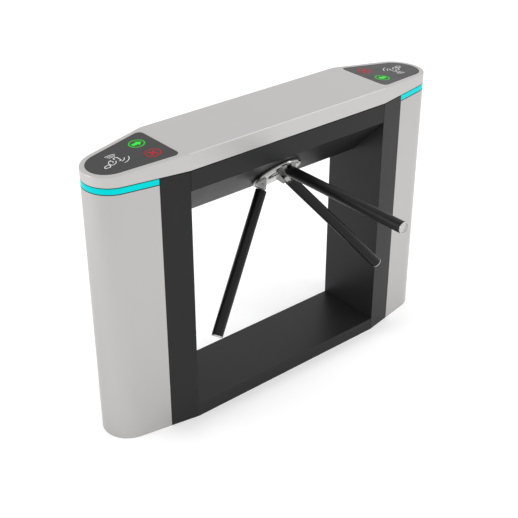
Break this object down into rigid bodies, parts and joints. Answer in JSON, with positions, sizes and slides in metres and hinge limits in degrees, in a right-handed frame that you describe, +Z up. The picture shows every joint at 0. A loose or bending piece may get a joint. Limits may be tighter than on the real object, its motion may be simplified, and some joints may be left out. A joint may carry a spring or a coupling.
{
  "type": "tripod turnstile",
  "caption": "Bridge tripod turnstile: two round-nosed pillars, a capped beam and a sloped hub with drop arms, for counting visitors as they pass.",
  "frame": {"origin": "on the floor under the middle of the cabinet", "axes": "+X along the cabinet and the way visitors walk, +Z up, visitors pass on the -Y side"},
  "size_m": [1.4, 0.752, 0.98],
  "materials": {
    "stainless": "satin stainless sheet",
    "dark_paint": "satin dark grey powder coat",
    "light_diffuser": "lit cyan diffuser",
    "panel_window": "tinted window with passage signs",
    "hub_chrome": "polished cast hub",
    "arm_black": "satin black tube",
    "arm_end": "bright end plug",
    "zinc_plate": "zinc plated",
    "machined_steel": "machined",
    "motor_housing": "dark anodised",
    "black_plastic": "moulded",
    "board": "circuit board"
  },
  "bodies": {
    "cabinet": {"floor_rail": "zinc_plate", "floor_plate_left": "zinc_plate", "floor_plate_right": "zinc_plate", "anchor_bolt_left_front": "zinc_plate", "anchor_bolt_left_rear": "zinc_plate", "anchor_bolt_right_front": "zinc_plate", "anchor_bolt_right_rear": "zinc_plate", "base_cover": "dark_paint", "pillar_frame_left": "dark_paint", "pillar_frame_right": "dark_paint", "pillar_shell_left": "stainless", "pillar_shell_right": "stainless", "light_bar_left": "light_diffuser", "light_bar_right": "light_diffuser", "beam_housing": "dark_paint", "power_supply": "black_plastic", "control_board": "board", "mechanism_plate": "zinc_plate", "mechanism_cage": "zinc_plate", "bearing_housing": "motor_housing", "front_bearing": "machined_steel", "rear_bearing": "machined_steel", "gear_motor": "motor_housing", "lock_solenoid_left": "motor_housing", "lock_solenoid_right": "motor_housing", "count_sensor": "black_plastic"},
    "cover": {"top_cover": "stainless", "display_panel_left": "panel_window", "display_panel_right": "panel_window", "card_reader_left": "black_plastic", "card_reader_right": "black_plastic"},
    "rotor": {"main_shaft": "machined_steel", "hub_disc": "hub_chrome", "hub_cap": "hub_chrome", "drive_gear": "machined_steel", "lock_wheel": "machined_steel", "encoder_disc": "black_plastic", "shaft_nut": "zinc_plate", "arm_bracket_1": "hub_chrome", "arm_bracket_2": "hub_chrome", "arm_bracket_3": "hub_chrome", "pivot_pin_1": "machined_steel", "pivot_pin_2": "machined_steel", "pivot_pin_3": "machined_steel"},
    "arm_1": {"arm_knuckle_1": "hub_chrome", "arm_tube_1": "arm_black", "arm_cap_1": "arm_end"},
    "arm_2": {"arm_knuckle_2": "hub_chrome", "arm_tube_2": "arm_black", "arm_cap_2": "arm_end"},
    "arm_3": {"arm_knuckle_3": "hub_chrome", "arm_tube_3": "arm_black", "arm_cap_3": "arm_end"},
    "pinion": {"motor_pinion": "machined_steel"},
    "pawl_left": {"lock_pawl_left": "machined_steel"},
    "plunger_left": {"lock_plunger_left": "machined_steel"},
    "pawl_right": {"lock_pawl_right": "machined_steel"},
    "plunger_right": {"lock_plunger_right": "machined_steel"}
  },
  "joints": [
    {"name": "rotor_spin", "type": "hinge", "parent": "cabinet", "child": "rotor", "pos_m": [0, -0.01202, 0.79149], "axis": [0, -0.7193, -0.6947], "continuous": true},
    {"name": "pinion_spin", "type": "hinge", "parent": "cabinet", "child": "pinion", "pos_m": [0.0675, -0.01202, 0.79149], "axis": [0, -0.7193, -0.6947], "continuous": true},
    {"name": "arm_drop_1", "type": "hinge", "parent": "rotor", "child": "arm_1", "pos_m": [0, -0.10202, 0.79149], "axis": [1, 0, 0], "range_deg": [0, 90]},
    {"name": "arm_drop_2", "type": "hinge", "parent": "rotor", "child": "arm_2", "pos_m": [-0.05414, -0.03688, 0.72403], "axis": [-0.5, -0.6016, 0.623], "range_deg": [0, 44]},
    {"name": "arm_drop_3", "type": "hinge", "parent": "rotor", "child": "arm_3", "pos_m": [0.05414, -0.03688, 0.72403], "axis": [-0.5, 0.6016, -0.623], "range_deg": [0, 44]},
    {"name": "pawl_turn_left", "type": "hinge", "parent": "cabinet", "child": "pawl_left", "pos_m": [-0.056, 0.01437, 0.76415], "axis": [0, 0.7193, 0.6947], "range_deg": [0, 8], "stiffness_Nm_per_rad": 0.05, "springref_deg": -17.19},
    {"name": "plunger_slide_left", "type": "slide", "parent": "cabinet", "child": "plunger_left", "axis": [1, 0, 0], "range_m": [0, 0.0054]},
    {"name": "pawl_turn_right", "type": "hinge", "parent": "cabinet", "child": "pawl_right", "pos_m": [0.056, 0.01437, 0.76415], "axis": [0, -0.7193, -0.6947], "range_deg": [0, 8], "stiffness_Nm_per_rad": 0.05, "springref_deg": -17.19},
    {"name": "plunger_slide_right", "type": "slide", "parent": "cabinet", "child": "plunger_right", "axis": [-1, 0, 0], "range_m": [0, 0.0054]},
    {"name": "cover_lift", "type": "slide", "parent": "cabinet", "child": "cover", "axis": [0, 0, 1], "range_m": [0, 0.12]}
  ],
  "couplings": [
    {"joint": "pinion_spin", "follows": "rotor_spin", "ratio": -2},
    {"joint": "plunger_slide_left", "follows": "pawl_turn_left", "m_per_rad": 0.038},
    {"joint": "plunger_slide_right", "follows": "pawl_turn_right", "m_per_rad": 0.038}
  ]
}
